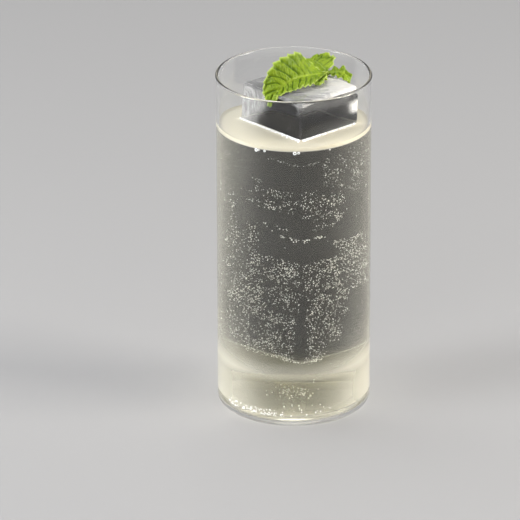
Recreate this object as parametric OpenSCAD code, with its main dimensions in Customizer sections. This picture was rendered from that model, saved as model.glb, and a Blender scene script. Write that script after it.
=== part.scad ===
// A tall drink in a straight, thin-walled glass: a clear ice block stands in the
// drink and rises out of it, and the tip of a mint sprig lies across the ice.
// The origin is the centre of the underside of the glass, and +Z is up.

/* [Glass] */
// Outer diameter of the glass
glass_d = 62; // [50:0.5:76]
// Height from the underside to the rim
glass_h = 141; // [115:1:170]
// Thickness of the side wall
wall = 1.1; // [0.8:0.05:1.5]
// Thickness of the floor of the glass
floor_t = 4; // [3:0.25:7]
// Radius of the outer corner at the foot
foot_r = 3; // [2:0.25:5]
// Radius of the inner corner at the floor
well_r = 3.5; // [1:0.25:6]
// How far the fire-polished lip stands out past the wall
lip_bead = 0.25; // [0.1:0.05:0.5]
// Height over which the wall swells into the lip
lip_h = 2.2; // [1.5:0.1:4]

/* [Drink] */
// Free height between the surface of the drink and the rim
headroom = 20.5; // [12:0.5:40]
// Height that the drink climbs where it wets the glass
meniscus_h = 0.9; // [0.3:0.1:1.5]
// Width of that climbing edge
meniscus_w = 1.8; // [1:0.1:3]

/* [Ice block] */
// Gap from the glass to the front left face, measured through the axis
gap_front_left = 17.1; // [14:0.1:21]
// Gap from the glass to the back right face
gap_back_right = 11.7; // [10:0.1:15]
// Gap from the glass to the front right face
gap_front_right = 11.8; // [10:0.1:15]
// Gap from the glass to the back left face
gap_back_left = 12; // [10:0.1:15]
// How far that face leans in between the drink and the top of the block
ice_lean = 2; // [0:0.1:4]
// Turn of the block about the axis of the glass
ice_turn = 42; // [0:1:90]
// Height of the block above the drink
ice_above = 16; // [8:0.5:18]
// Clear height under the block, above the floor of the glass
ice_below = 21; // [10:0.5:30]
// Radius of the block's upright edges
ice_edge_r = 1.6; // [0.8:0.1:3]
// Depth of the melted hollows along the faces
ice_hollow = 0.5; // [0:0.05:0.8]
// Rounding of the top and bottom edges
ice_round = 1; // [0.5:0.1:2]

/* [Mint sprig] */
// Thickness of a leaf
leaf_t = 0.5; // [0.35:0.05:0.8]
// Reach of the big leaf's tip past the front left face
leaf_overhang = 1.6; // [1:0.1:4]
// Distance of the stem from the back right face
stem_inset = 2.5; // [1.5:0.1:6]
// Shift of the sprig along the front left face, from the middle
sprig_shift = 2; // [-6:0.5:6]
// Width of the big leaf's raised half
big_raised_w = 10.8; // [8:0.2:13]
// Width of the big leaf's low half
big_low_w = 5.4; // [4:0.2:8]
// Sideways bow of the big leaf's rib
big_bow = 1.8; // [-2:0.2:3]
// Slope of the big leaf's raised half
big_fold = 57; // [30:1:70]
// Length of the rounded back leaf
back_len = 12.5; // [10:0.5:18]
// Half width of the rounded back leaf
back_w = 6.5; // [4:0.5:9]
// Length of the curled leaf beside the stem
curl_len = 9.5; // [6:0.5:13]
// Half width of the curled leaf
curl_w = 2.6; // [2:0.2:4]
// Length of the smallest leaf
bud_len = 12; // [8:0.5:14]
// Half width of the smallest leaf
bud_w = 2.2; // [1.5:0.1:3.5]
// Radius of the stem
stem_r = 1.1; // [0.8:0.1:1.6]
// Length of the piece of stem
stem_len = 5; // [3:0.5:9]
// Depth that the sprig would sink if the ice did not hold it up
sprig_bed = 0.3; // [0.2:0.05:0.5]

/* [Hidden] */

// The bore, the floor and the surface of the drink
outer_r = glass_d / 2;
bore_r = outer_r - wall;
drink_z = glass_h - headroom;

// The block's faces, seen along its own axes, and its ends
ice_x0 = gap_front_left - bore_r;
ice_x1 = bore_r - gap_back_right;
ice_y0 = gap_front_right - bore_r;
ice_y1 = bore_r - gap_back_left;
ice_w = ice_x1 - ice_x0;
ice_z0 = floor_t + ice_below;
ice_z1 = drink_z + ice_above;
ice_rings = 12;
ice_side_steps = 4;
ice_edge_steps = 4;
// The melted hollows wander: degrees for each millimetre up, and for each face on
hollow_wander = 7;
hollow_shift = 110;

// The big leaf spans the block from the stem to past the far face: the slope of
// its low half, and the rises of its rib near the stem, at the crest and at the tip
big_len = ice_w + leaf_overhang - stem_inset;
big_low_fold = -28;
big_rises = [2, 7.2, -5.6];
big_teeth = 10;

// The small leaves: their turns from the big one, their slopes and their rises
back_turn = -84;
back_folds = [19, 14];
back_rises = [1.8, 2, 0.5];
curl_turn = 122;
curl_folds = [22, 26];
curl_rises = [1.4, 3, -3.4];
curl_bow = 0.6;
bud_turn = 31;
bud_folds = [20, 24];
bud_rises = [0.4, 0.6, 0.2];
small_teeth = 6;

// Where the leaves leave the stem
stem_z = stem_r - sprig_bed;
leaf_root_z = stem_z + 0.6;
back_root = [-0.6, -0.5, stem_z + 0.8];
bud_root = [1, 0.4, stem_z];
stem_bend = 0.6;
stem_taper = 0.8;

// The outline and the crinkles that every leaf shares
rib_rise_at = 0.36;
rib_crest_at = 0.86;
widen_power = 1.3;
narrow_power = 0.9;
leaf_end_w = 0.1;
fold_end = 0.02;
fold_power = 0.6;
tooth_depth = 0.12;
leaf_steps_across = 4;
crinkle = 0.35;
crinkle_waves = 3.5;
crinkle_shift = 150;

turned_fn = 96;
stem_fn = 20;
arc_step = 15;
meniscus_steps = 5;

// ---- Shared geometry ----

// A point on the cubic curve with four control points
function bezier(p, t) =
    pow(1 - t, 3) * p[0] + 3 * pow(1 - t, 2) * t * p[1]
    + 3 * (1 - t) * t * t * p[2] + pow(t, 3) * p[3];

// Unit direction of the same curve
function heading(p, t) =
    let (d = pow(1 - t, 2) * (p[1] - p[0]) + 2 * (1 - t) * t * (p[2] - p[1]) + t * t * (p[3] - p[2]))
    d / norm(d);

// Arc points round a centre, both ends included
function arc(centre, r, from, to) =
    [for (k = [0 : round(abs(to - from) / arc_step)])
        let (a = from + (to - from) * k / round(abs(to - from) / arc_step))
        centre + r * [cos(a), sin(a)]];

// Triangles that close a ring of n points, as a strip between its two halves
function cap(n, first) =
    [for (j = [0 : n / 2 - 2])
        for (face = [[j, j + 1, n - 2 - j], [j, n - 2 - j, n - 1 - j]])
            [for (k = face) first + k]];

// A closed solid through a list of rings that have as many points each
module loft(rings) {
    n = len(rings[0]);
    last = len(rings) - 1;
    points = [for (ring = rings) for (p = ring) p];
    sides = [for (i = [0 : last - 1]) for (j = [0 : n - 1])
        for (face = [
            [i * n + j, (i + 1) * n + j, (i + 1) * n + (j + 1) % n],
            [i * n + j, (i + 1) * n + (j + 1) % n, i * n + (j + 1) % n]]) face];
    far_cap = [for (face = cap(n, last * n)) [face[2], face[1], face[0]]];
    polyhedron(points, concat(sides, cap(n, 0), far_cap), convexity = 6);
}

// ---- Glass ----

// Inner outline of the glass from the axis up to a height
function bore_outline(top) = concat(
    [[0, floor_t]],
    arc([bore_r - well_r, floor_t + well_r], well_r, -90, 0),
    [[bore_r, top]]);

module glass() {
    lip_r = (wall + lip_bead) / 2;
    lip_centre = [outer_r + lip_bead - lip_r, glass_h - lip_r];
    outside = concat(
        [[0, 0]],
        arc([outer_r - foot_r, foot_r], foot_r, -90, 0),
        [[outer_r, glass_h - lip_h]],
        arc(lip_centre, lip_r, 0, 180));
    inside = bore_outline(glass_h - lip_h);
    inside_down = [for (k = [len(inside) - 1 : -1 : 0]) inside[k]];
    color("aliceblue", 0.35)
        rotate_extrude($fn = turned_fn) polygon(concat(outside, inside_down));
}

// ---- Ice ----

// One level of the block: an oblong with rounded upright edges and hollow faces
function ice_ring(z, shrink) =
    let (
        r = ice_edge_r,
        back = ice_y1 - ice_lean * max(0, z - drink_z) / ice_above,
        hx = ice_w / 2 - shrink - r,
        hy = (back - ice_y0) / 2 - shrink - r,
        mid = [(ice_x0 + ice_x1) / 2, (ice_y0 + back) / 2],
        corners = [[hx, hy], [-hx, hy], [-hx, -hy], [hx, -hy]])
    [for (c = [0 : 3])
        for (k = [0 : ice_edge_steps + ice_side_steps - 1])
            let (
                a = c * 90 + min(k / ice_edge_steps, 1) * 90,
                along = max(k - ice_edge_steps, 0) / ice_side_steps,
                from = corners[c] + r * [cos(a), sin(a)],
                to = corners[(c + 1) % 4] + r * [cos(a), sin(a)],
                wander = (1 + sin(hollow_wander * z + hollow_shift * c)) / 2,
                dent = ice_hollow * sin(180 * along) * wander)
            concat(mid + from + (to - from) * along - dent * [cos(a), sin(a)], z)];

// How much the rounding of the two ends takes off a level
function ice_end_shrink(z) =
    let (d = min(z - ice_z0, ice_z1 - z))
    d >= ice_round ? 0 : ice_round - sqrt(max(0, pow(ice_round, 2) - pow(ice_round - d, 2)));

module ice_solid() {
    end_steps = [0, 0.1, 0.4, 1];
    levels = concat(
        [for (s = end_steps) ice_z0 + ice_round * s],
        [for (k = [1 : ice_rings - 1]) ice_z0 + (ice_z1 - ice_z0) * k / ice_rings],
        [for (k = [len(end_steps) - 1 : -1 : 0]) ice_z1 - ice_round * end_steps[k]]);
    rotate([0, 0, ice_turn])
        loft([for (z = levels) ice_ring(z, ice_end_shrink(z))]);
}

module ice_block() {
    color("white", 0.5) ice_solid();
}

// ---- Drink ----

// The drink fills the glass up to its surface, round the block
module drink() {
    edge = [for (k = [0 : meniscus_steps])
        let (s = 1 - k / meniscus_steps)
        [bore_r - meniscus_w * (1 - s), drink_z + meniscus_h * pow(s, 2)]];
    color("beige", 0.6)
        difference() {
            rotate_extrude($fn = turned_fn)
                polygon(concat(bore_outline(drink_z), edge, [[0, drink_z]]));
            ice_solid();
        }
}

// ---- Mint ----

// One crossing of a leaf: its upper skin from the left edge to the right, then
// its lower skin back again. The rib is a curve in x and z; the two halves rise
// from it by their own slopes, and the edge has a tooth at every second station.
function leaf_ring(rib, bow, widths, folds, teeth, i) =
    let (
        t = i / (2 * teeth),
        p = bezier(rib, t),
        d = heading(rib, t),
        up = [-d[1], 0, d[0]],
        centre = [p[0], bow * sin(180 * t), p[1]],
        bite = i % 2 == 0 ? 1 - tooth_depth : 1,
        shape = max(pow(sin(180 * t), t < 0.5 ? widen_power : narrow_power), leaf_end_w) * bite,
        open = pow(max(sin(180 * t), fold_end), fold_power),
        skin = [for (j = [-leaf_steps_across : leaf_steps_across])
            let (
                side = j < 0 ? 0 : 1,
                v = abs(j) / leaf_steps_across,
                w = widths[side] * shape * v,
                f = folds[side] * open,
                ripple = crinkle * v * sin(360 * crinkle_waves * t + crinkle_shift * side) * open,
                place = centre + sign(j) * w * cos(f) * [0, 1, 0] + (w * sin(f) + ripple) * up,
                lean = f * min(1, 2 * v),
                face_up = cos(lean) * up - sign(j) * sin(lean) * [0, 1, 0])
            [place, place - leaf_t * face_up]])
    concat(
        [for (j = [2 * leaf_steps_across : -1 : 0]) skin[j][0]],
        [for (j = [0 : 2 * leaf_steps_across]) skin[j][1]]);

module leaf(rib, bow, widths, folds, teeth) {
    loft([for (i = [0 : 2 * teeth]) leaf_ring(rib, bow, widths, folds, teeth, i)]);
}

// Control points of a rib that leaves the stem upwards, is drawn up to a crest
// and comes down to its tip
function leaf_rib(length, rises) =
    [[0, 0], [length * rib_rise_at, rises[0]], [length * rib_crest_at, rises[1]], [length, rises[2]]];

// The leaves, seen from the stem: +X runs to the big leaf's tip
module sprig_leaves() {
    translate([0, 0, leaf_root_z])
        leaf(leaf_rib(big_len, big_rises), big_bow, [big_raised_w, big_low_w],
            [big_fold, big_low_fold], big_teeth);
    translate(back_root) rotate([0, 0, back_turn])
        leaf(leaf_rib(back_len, back_rises), 0, [back_w, back_w], back_folds, small_teeth);
    translate([0, 0, leaf_root_z]) rotate([0, 0, curl_turn])
        leaf(leaf_rib(curl_len, curl_rises), curl_bow, [curl_w, curl_w], curl_folds, small_teeth);
    translate(bud_root) rotate([0, 0, bud_turn])
        leaf(leaf_rib(bud_len, bud_rises), 0, [bud_w, bud_w], bud_folds, small_teeth);
}

module sprig_stem() {
    hull() {
        translate([-stem_len / 2, -stem_bend, stem_z])
            sphere(r = stem_r * stem_taper, $fn = stem_fn);
        translate([stem_len / 2, 0, stem_z])
            sphere(r = stem_r, $fn = stem_fn);
    }
}

// Size that the sprig is brought to: zeros keep its own, as one closed skin
sprig_size = [0, 0, 0];

// The sprig lies on the block, so what would sink into the block is cut away
module mint_sprig() {
    color("yellowgreen")
        resize(sprig_size)
            difference() {
                rotate([0, 0, ice_turn])
                    translate([ice_x1 - stem_inset, (ice_y0 + ice_y1) / 2 - sprig_shift, ice_z1])
                        rotate([0, 0, 180]) {
                            sprig_leaves();
                            sprig_stem();
                        }
                ice_solid();
            }
}

glass();
drink();
ice_block();
mint_sprig();
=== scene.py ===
"""A minted long drink in a tall, thin glass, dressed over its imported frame.

The glass, the drink, the ice spear and the mint sprig each replace their plain
frame solid with finer pieces. The fizz, the froth at the waterline and the big
bubbles under the surface are added as small pieces at their true size.
Lengths inside the classes are in millimetres, and meshes are made in metres.
"""

from __future__ import annotations

import logging
import math
from dataclasses import dataclass, field
from enum import Enum
from typing import Callable, Iterable, Sequence

import bmesh
import bpy
import numpy as np
from mathutils import Matrix, Vector, noise

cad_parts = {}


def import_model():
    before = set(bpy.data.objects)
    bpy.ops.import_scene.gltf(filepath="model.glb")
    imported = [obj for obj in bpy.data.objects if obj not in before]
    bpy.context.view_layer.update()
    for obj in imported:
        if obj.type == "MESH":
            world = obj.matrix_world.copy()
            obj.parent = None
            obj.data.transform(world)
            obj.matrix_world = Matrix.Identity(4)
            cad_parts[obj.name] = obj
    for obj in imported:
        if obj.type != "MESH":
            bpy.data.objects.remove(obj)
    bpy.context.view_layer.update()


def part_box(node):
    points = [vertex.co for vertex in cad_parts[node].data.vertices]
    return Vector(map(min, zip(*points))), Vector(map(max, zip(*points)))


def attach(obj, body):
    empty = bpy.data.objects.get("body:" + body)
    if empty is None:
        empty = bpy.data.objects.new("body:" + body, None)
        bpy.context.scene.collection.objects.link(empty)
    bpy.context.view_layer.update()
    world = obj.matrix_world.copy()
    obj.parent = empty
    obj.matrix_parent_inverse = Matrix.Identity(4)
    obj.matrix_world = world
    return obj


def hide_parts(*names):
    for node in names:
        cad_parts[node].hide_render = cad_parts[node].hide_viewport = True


log = logging.getLogger("long_drink")

MM = 0.001
MERGE_DISTANCE = 1e-7
NO_LENGTH = 1e-8
# Noise vectors change with the clock until the noise is given a seed
NOISE_SEED = 5
# The colour sockets of a Mix node
MIX_FIRST, MIX_SECOND, MIX_RESULT = 6, 7, 2

Colour = tuple[float, float, float, float]
Pair = tuple[float, float]
Point = tuple[float, float, float]


class Slot(Enum):
    """The record's material slots."""

    GLASS = "glass"
    DRINK = "drink"
    ICE = "ice"
    MINT = "mint"


class Face(Enum):
    """The two upright faces of the ice that the fizz clings to."""

    FRONT_LEFT = "front left"
    FRONT_RIGHT = "front right"


class Spread(Enum):
    """How the bubbles of one drift lie."""

    CLOUD = "cloud"
    ROW = "row"
    COLUMN = "column"


# ---------------------------------------------------------------- node tables


class NodeTable:
    """A material's node tree, with short calls for the nodes the finishes use."""

    def __init__(self, name: str) -> None:
        """Starts an empty material.

        Args:
            name: The material's name.
        """
        self.material = bpy.data.materials.new(name)
        self.material.use_nodes = True
        self.tree = self.material.node_tree
        self.tree.nodes.clear()
        self.out = self.node("ShaderNodeOutputMaterial")
        self.coords = self.node("ShaderNodeTexCoord").outputs["Object"]

    def node(self, kind: str, **settings: object) -> bpy.types.Node:
        """Adds a node.

        Args:
            kind: The node's type name.
            settings: Properties set on the node.

        Returns:
            The new node.
        """
        made = self.tree.nodes.new(kind)
        for key, value in settings.items():
            setattr(made, key, value)
        return made

    def join(self, source: bpy.types.NodeSocket, target: bpy.types.NodeSocket) -> None:
        """Links an output to an input."""
        self.tree.links.new(source, target)

    def feed(self, target: bpy.types.NodeSocket, value: object) -> None:
        """Links a socket, or sets a plain value.

        Args:
            target: The input to fill.
            value: A node socket, a number or a colour.
        """
        if isinstance(value, bpy.types.NodeSocket):
            self.join(value, target)
        else:
            target.default_value = value

    def attribute(self, name: str) -> bpy.types.NodeSocket:
        """Returns the value of a mesh attribute."""
        return self.node("ShaderNodeAttribute", attribute_name=name).outputs["Fac"]

    def stretched(self, scale: Point, turn: float = 0.0) -> bpy.types.NodeSocket:
        """Object coordinates, turned about Z and scaled.

        Args:
            scale: Factors along X, Y and Z.
            turn: Turn about Z, in degrees.

        Returns:
            The mapped vector.
        """
        mapping = self.node("ShaderNodeMapping")
        mapping.inputs["Rotation"].default_value = (0.0, 0.0, math.radians(turn))
        mapping.inputs["Scale"].default_value = scale
        self.join(self.coords, mapping.inputs["Vector"])
        return mapping.outputs["Vector"]

    def noise(
        self,
        scale: float,
        detail: float = 2.0,
        rough: float = 0.5,
        twist: float = 0.0,
        vector: bpy.types.NodeSocket | None = None,
    ) -> bpy.types.NodeSocket:
        """A noise value.

        Args:
            scale: Cells to a metre.
            detail: Octaves.
            rough: Strength of the finer octaves.
            twist: Distortion.
            vector: Where it is read; the object's own coordinates if left out.

        Returns:
            The value, near 0.5 on average.
        """
        made = self.node("ShaderNodeTexNoise")
        made.inputs["Scale"].default_value = scale
        made.inputs["Detail"].default_value = detail
        made.inputs["Roughness"].default_value = rough
        made.inputs["Distortion"].default_value = twist
        self.join(vector or self.coords, made.inputs["Vector"])
        return made.outputs["Fac"]

    def range(
        self,
        value: bpy.types.NodeSocket,
        low: float,
        high: float,
        to_low: float = 0.0,
        to_high: float = 1.0,
    ) -> bpy.types.NodeSocket:
        """Maps a range of values smoothly onto another, clamped at both ends.

        Args:
            value: The value to map.
            low: Where the range starts.
            high: Where it ends.
            to_low: The result at and below the start.
            to_high: The result at and above the end.

        Returns:
            The mapped value.
        """
        made = self.node("ShaderNodeMapRange", interpolation_type="SMOOTHSTEP")
        self.join(value, made.inputs["Value"])
        made.inputs["From Min"].default_value = low
        made.inputs["From Max"].default_value = high
        made.inputs["To Min"].default_value = to_low
        made.inputs["To Max"].default_value = to_high
        return made.outputs["Result"]

    def sum_of(self, operation: str, first: object, second: object) -> bpy.types.NodeSocket:
        """One sum of two values.

        Args:
            operation: The Math node's operation.
            first: A socket or a number.
            second: A socket or a number.

        Returns:
            The result, clamped between 0 and 1.
        """
        made = self.node("ShaderNodeMath", operation=operation, use_clamp=True)
        self.feed(made.inputs[0], first)
        self.feed(made.inputs[1], second)
        return made.outputs[0]

    def blend(
        self, factor: bpy.types.NodeSocket, first: object, second: object
    ) -> bpy.types.NodeSocket:
        """Blends two colours.

        Args:
            factor: 0 gives the first colour, 1 the second.
            first: A socket or a colour.
            second: A socket or a colour.

        Returns:
            The blended colour.
        """
        made = self.node("ShaderNodeMix", data_type="RGBA")
        self.feed(made.inputs["Factor"], factor)
        self.feed(made.inputs[MIX_FIRST], first)
        self.feed(made.inputs[MIX_SECOND], second)
        return made.outputs[MIX_RESULT]

    def bump(
        self, height: bpy.types.NodeSocket, depth: float, strength: float = 1.0
    ) -> bpy.types.NodeSocket:
        """A bumped normal.

        Args:
            height: The height value.
            depth: Height of a full step, in millimetres.
            strength: Share of the bump that shows.

        Returns:
            The normal.
        """
        made = self.node("ShaderNodeBump")
        made.inputs["Strength"].default_value = strength
        made.inputs["Distance"].default_value = depth * MM
        self.join(height, made.inputs["Height"])
        return made.outputs["Normal"]

    def principled(self, **inputs: object) -> bpy.types.Node:
        """Adds the shader and joins it to the output.

        Args:
            inputs: Socket names with _ for spaces, and their values or sources.

        Returns:
            The shader node.
        """
        made = self.node("ShaderNodeBsdfPrincipled")
        for key, value in inputs.items():
            self.feed(made.inputs[key.replace("_", " ")], value)
        self.join(made.outputs[0], self.out.inputs["Surface"])
        return made

    def absorb(self, colour: Colour, density: float) -> None:
        """Gives the inside a plain absorption.

        Args:
            colour: What is left over depth.
            density: Strength to a metre.
        """
        made = self.node("ShaderNodeVolumeAbsorption")
        made.inputs["Color"].default_value = colour
        made.inputs["Density"].default_value = density
        self.join(made.outputs[0], self.out.inputs["Volume"])


# ------------------------------------------------------------------- finishes


@dataclass(frozen=True)
class GlassFinish:
    """Clear, fire-polished soda glass with the faintest film of handling."""

    name: str = "clear_glass"
    tint: Colour = (0.985, 0.99, 0.985, 1.0)
    ior: float = 1.45

    def material(self) -> bpy.types.Material:
        """Builds the material."""
        table = NodeTable(self.name)
        film = table.noise(90.0, detail=4.0, twist=0.6)
        waves = table.noise(38.0, detail=1.0)
        table.principled(
            Base_Color=self.tint,
            Roughness=table.range(film, 0.45, 0.8, 0.0, 0.035),
            IOR=self.ior,
            Transmission_Weight=1.0,
            Normal=table.bump(waves, 0.02, 0.25),
        )
        return table.material


@dataclass(frozen=True)
class DrinkFinish:
    """The drink: pale, slightly cloudy, with a creamier look from above; its absorption is partly
    its tint and partly painted shade.
    """

    name: str = "cloudy_drink"
    clear: Colour = (0.955, 0.945, 0.865, 1.0)
    cloud: Colour = (0.42, 0.385, 0.285, 1.0)
    tint_and_painted_shade: Colour = (0.585, 0.57, 0.455, 1.0)
    tint_and_shade_density: float = 52.0
    ior: float = 1.333

    def material(self) -> bpy.types.Material:
        """Builds the material; the mesh's haze value says how cloudy a spot is and where painted
        light brightens it.
        """
        table = NodeTable(self.name)
        veil = table.range(table.noise(45.0, detail=2.0, twist=0.6), 0.3, 0.7, 0.93, 1.06)
        haze_and_light = table.sum_of("MULTIPLY", table.attribute("haze_and_light"), veil)
        table.principled(
            Base_Color=table.blend(haze_and_light, self.clear, self.cloud),
            Roughness=table.range(haze_and_light, 0.0, 1.0, 0.02, 0.16),
            IOR=self.ior,
            Transmission_Weight=table.sum_of("SUBTRACT", 1.0, haze_and_light),
        )
        # Partly the drink's tint, partly painted shade: the absorption darkens the deep middle of
        # the drink.
        table.absorb(self.tint_and_painted_shade, self.tint_and_shade_density)
        return table.material


@dataclass(frozen=True)
class IceFinish:
    """Clear ice with frosted patches and fine cracks; its grey depth is painted shade that darkens
    the middle.
    """

    name: str = "clear_ice"
    clear: Colour = (0.97, 0.975, 0.98, 1.0)
    frosted: Colour = (0.52, 0.51, 0.485, 1.0)
    tint_and_painted_shade: Colour = (0.5, 0.505, 0.53, 1.0)
    tint_and_shade_density: float = 290.0
    ior: float = 1.31

    def material(self) -> bpy.types.Material:
        """Builds the material; the mesh's frost value says where it frosts over or carries a
        painted highlight.
        """
        table = NodeTable(self.name)
        along = table.stretched((1.0, 3.4, 1.0), turn=38.0)
        brushed = table.noise(85.0, detail=5.0, rough=0.62, twist=1.4, vector=along)
        streaks = table.range(brushed, 0.34, 0.66, 0.6, 1.25)
        frost_and_highlight = table.sum_of("MULTIPLY", table.attribute("frost_and_highlight"), streaks)
        crazed = table.noise(120.0, detail=6.0, rough=0.7, twist=2.5)
        cracks = table.range(crazed, 0.63, 0.72, 0.0, 0.07)
        white = table.sum_of("ADD", frost_and_highlight, cracks)
        ripples = table.noise(140.0, detail=3.0, twist=0.5)
        table.principled(
            Base_Color=table.blend(white, self.clear, self.frosted),
            Roughness=table.range(white, 0.0, 1.0, 0.02, 0.42),
            IOR=self.ior,
            Transmission_Weight=table.sum_of("SUBTRACT", 1.0, white),
            Normal=table.bump(ripples, 0.25, 0.5),
        )
        # Painted shade: the ice's strong grey absorption darkens all that is seen through it.
        table.absorb(self.tint_and_painted_shade, self.tint_and_shade_density)
        return table.material


@dataclass(frozen=True)
class FizzFinish:
    """A gas bubble: a white glint that lets a little through."""

    name: str = "fizz"
    white: Colour = (0.95, 0.965, 1.0, 1.0)
    shade: Colour = (0.86, 0.875, 0.91, 1.0)
    clear: float = 0.04

    def material(self) -> bpy.types.Material:
        """Builds the material."""
        table = NodeTable(self.name)
        spots = table.noise(900.0, detail=1.0)
        table.principled(
            Base_Color=table.blend(table.range(spots, 0.35, 0.65), self.shade, self.white),
            Roughness=0.12,
            IOR=1.2,
            Transmission_Weight=self.clear,
        )
        return table.material


@dataclass(frozen=True)
class LeafFinish:
    """Fresh mint: yellow-green, with pale ribs and painted shade in the hollows along the sunken
    veins.
    """

    name: str = "mint_leaf"
    light: Colour = (0.2, 0.29, 0.01, 1.0)
    middle: Colour = (0.125, 0.205, 0.005, 1.0)
    hollow_shade: Colour = (0.03, 0.08, 0.002, 1.0)
    rib: Colour = (0.3, 0.4, 0.035, 1.0)
    edge: Colour = (0.42, 0.53, 0.12, 1.0)

    def material(self) -> bpy.types.Material:
        """Builds the material from the leaf's own vein, hollow and edge values; the hollow value
        carries painted shade.
        """
        table = NodeTable(self.name)
        patches = table.range(table.noise(230.0, detail=3.0, twist=0.8), 0.35, 0.65)
        skin = table.blend(patches, self.middle, self.light)
        for part, low, high, share, colour in (
            # Painted shade: the hollows along the sunken veins are darkened.
            ("hollow", 0.1, 0.8, 0.92, self.hollow_shade),
            ("vein", 0.35, 1.0, 0.55, self.rib),
            ("edge", 0.2, 1.0, 0.8, self.edge),
        ):
            shown = table.range(table.attribute(part), low, high, 0.0, share)
            skin = table.blend(shown, skin, colour)
        cells = table.noise(1300.0, detail=3.0)
        table.principled(
            Base_Color=skin,
            Roughness=table.range(patches, 0.0, 1.0, 0.4, 0.52),
            Subsurface_Weight=0.12,
            Subsurface_Radius=(0.6, 0.9, 0.2),
            Subsurface_Scale=0.0006,
            Specular_IOR_Level=0.22,
            Normal=table.bump(cells, 0.12, 0.5),
        )
        return table.material


@dataclass(frozen=True)
class FloorFinish:
    """Plain, pale studio board."""

    name: str = "studio_floor"
    pale: Colour = (0.3, 0.3, 0.305, 1.0)
    paler: Colour = (0.31, 0.31, 0.315, 1.0)

    def material(self) -> bpy.types.Material:
        """Builds the material."""
        table = NodeTable(self.name)
        fibres = table.noise(3.0, detail=2.0)
        table.principled(Base_Color=table.blend(fibres, self.pale, self.paler), Roughness=0.75)
        return table.material


# --------------------------------------------------------------------- pieces


def finished(
    mesh_or_bm: bmesh.types.BMesh | bpy.types.Mesh, name: str, material: bpy.types.Material
) -> bpy.types.Object:
    """Turns a mesh into a smooth, dressed object at the origin.

    Args:
        mesh_or_bm: The shape, in metres.
        name: The piece's name.
        material: Its finish.

    Returns:
        The new object.
    """
    if isinstance(mesh_or_bm, bpy.types.Mesh):
        mesh = mesh_or_bm
        mesh.name = name
    else:
        mesh = bpy.data.meshes.new(name)
        mesh_or_bm.to_mesh(mesh)
        mesh_or_bm.free()
    mesh.materials.clear()
    mesh.materials.append(material)
    mesh.polygons.foreach_set("use_smooth", [True] * len(mesh.polygons))
    made = bpy.data.objects.new(name, mesh)
    bpy.context.scene.collection.objects.link(made)
    return made


def paint(mesh: bpy.types.Mesh, name: str, values: Iterable[float]) -> None:
    """Stores one value for each vertex.

    Args:
        mesh: The mesh to paint.
        name: The attribute's name.
        values: One number for each vertex, in order.
    """
    mesh.attributes.new(name, "FLOAT", "POINT").data.foreach_set("value", list(values))


def settle(
    piece: bpy.types.Object, slot: Slot, *nodes: str, shades: bool = True
) -> bpy.types.Object:
    """Lets a piece ride on the frame's body and hides the frame solids that it replaces.

    Args:
        piece: The finished piece.
        slot: The record's material slot; not used.
        nodes: Frame nodes that the piece stands for.
        shades: Whether it throws a shadow; clear pieces let the lights through.

    Returns:
        The same piece.
    """
    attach(piece, "root")
    if nodes:
        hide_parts(*nodes)
    piece.visible_shadow = shades
    log.info("%s: %d faces", piece.name, len(piece.data.polygons))
    return piece


def arc(centre: Pair, radius: float, start: float, end: float, steps: int = 8) -> list[Pair]:
    """Points along an arc, both ends included.

    Args:
        centre: Its centre.
        radius: Its radius.
        start: The first angle, in degrees.
        end: The last angle, in degrees.
        steps: How many chords it has.

    Returns:
        The points.
    """
    angles = [math.radians(start + (end - start) * k / steps) for k in range(steps + 1)]
    return [(centre[0] + radius * math.cos(a), centre[1] + radius * math.sin(a)) for a in angles]


def turned(outline: Sequence[Pair], steps: int) -> bmesh.types.BMesh:
    """Spins an outline about the Z axis into a closed solid.

    Args:
        outline: Radius and height of each point, in millimetres, from axis to axis
            or as a closed loop that ends where it starts.
        steps: Steps in the full turn.

    Returns:
        The solid, in metres, with its faces outwards.
    """
    bm = bmesh.new()
    verts = [bm.verts.new((r * MM, 0.0, z * MM)) for r, z in outline]
    edges = [bm.edges.new(pair) for pair in zip(verts, verts[1:])]
    bmesh.ops.spin(
        bm,
        geom=verts + edges,
        cent=(0.0, 0.0, 0.0),
        axis=(0.0, 0.0, 1.0),
        angle=math.tau,
        steps=steps,
        use_merge=True,
    )
    bmesh.ops.remove_doubles(bm, verts=bm.verts, dist=MERGE_DISTANCE)
    bmesh.ops.dissolve_degenerate(bm, dist=NO_LENGTH, edges=bm.edges)
    bmesh.ops.recalc_face_normals(bm, faces=bm.faces)
    return bm


def clamped(value: float) -> float:
    """Keeps a value between 0 and 1."""
    return min(1.0, max(0.0, value))


def spread_evenly(low: float, high: float, step: float) -> list[float]:
    """Inner cut places between two ends, about a step apart.

    Args:
        low: One end.
        high: The other end.
        step: The wanted distance.

    Returns:
        The places, without the two ends.
    """
    count = max(1, round((high - low) / step))
    return [low + (high - low) * k / count for k in range(1, count)]


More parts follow.
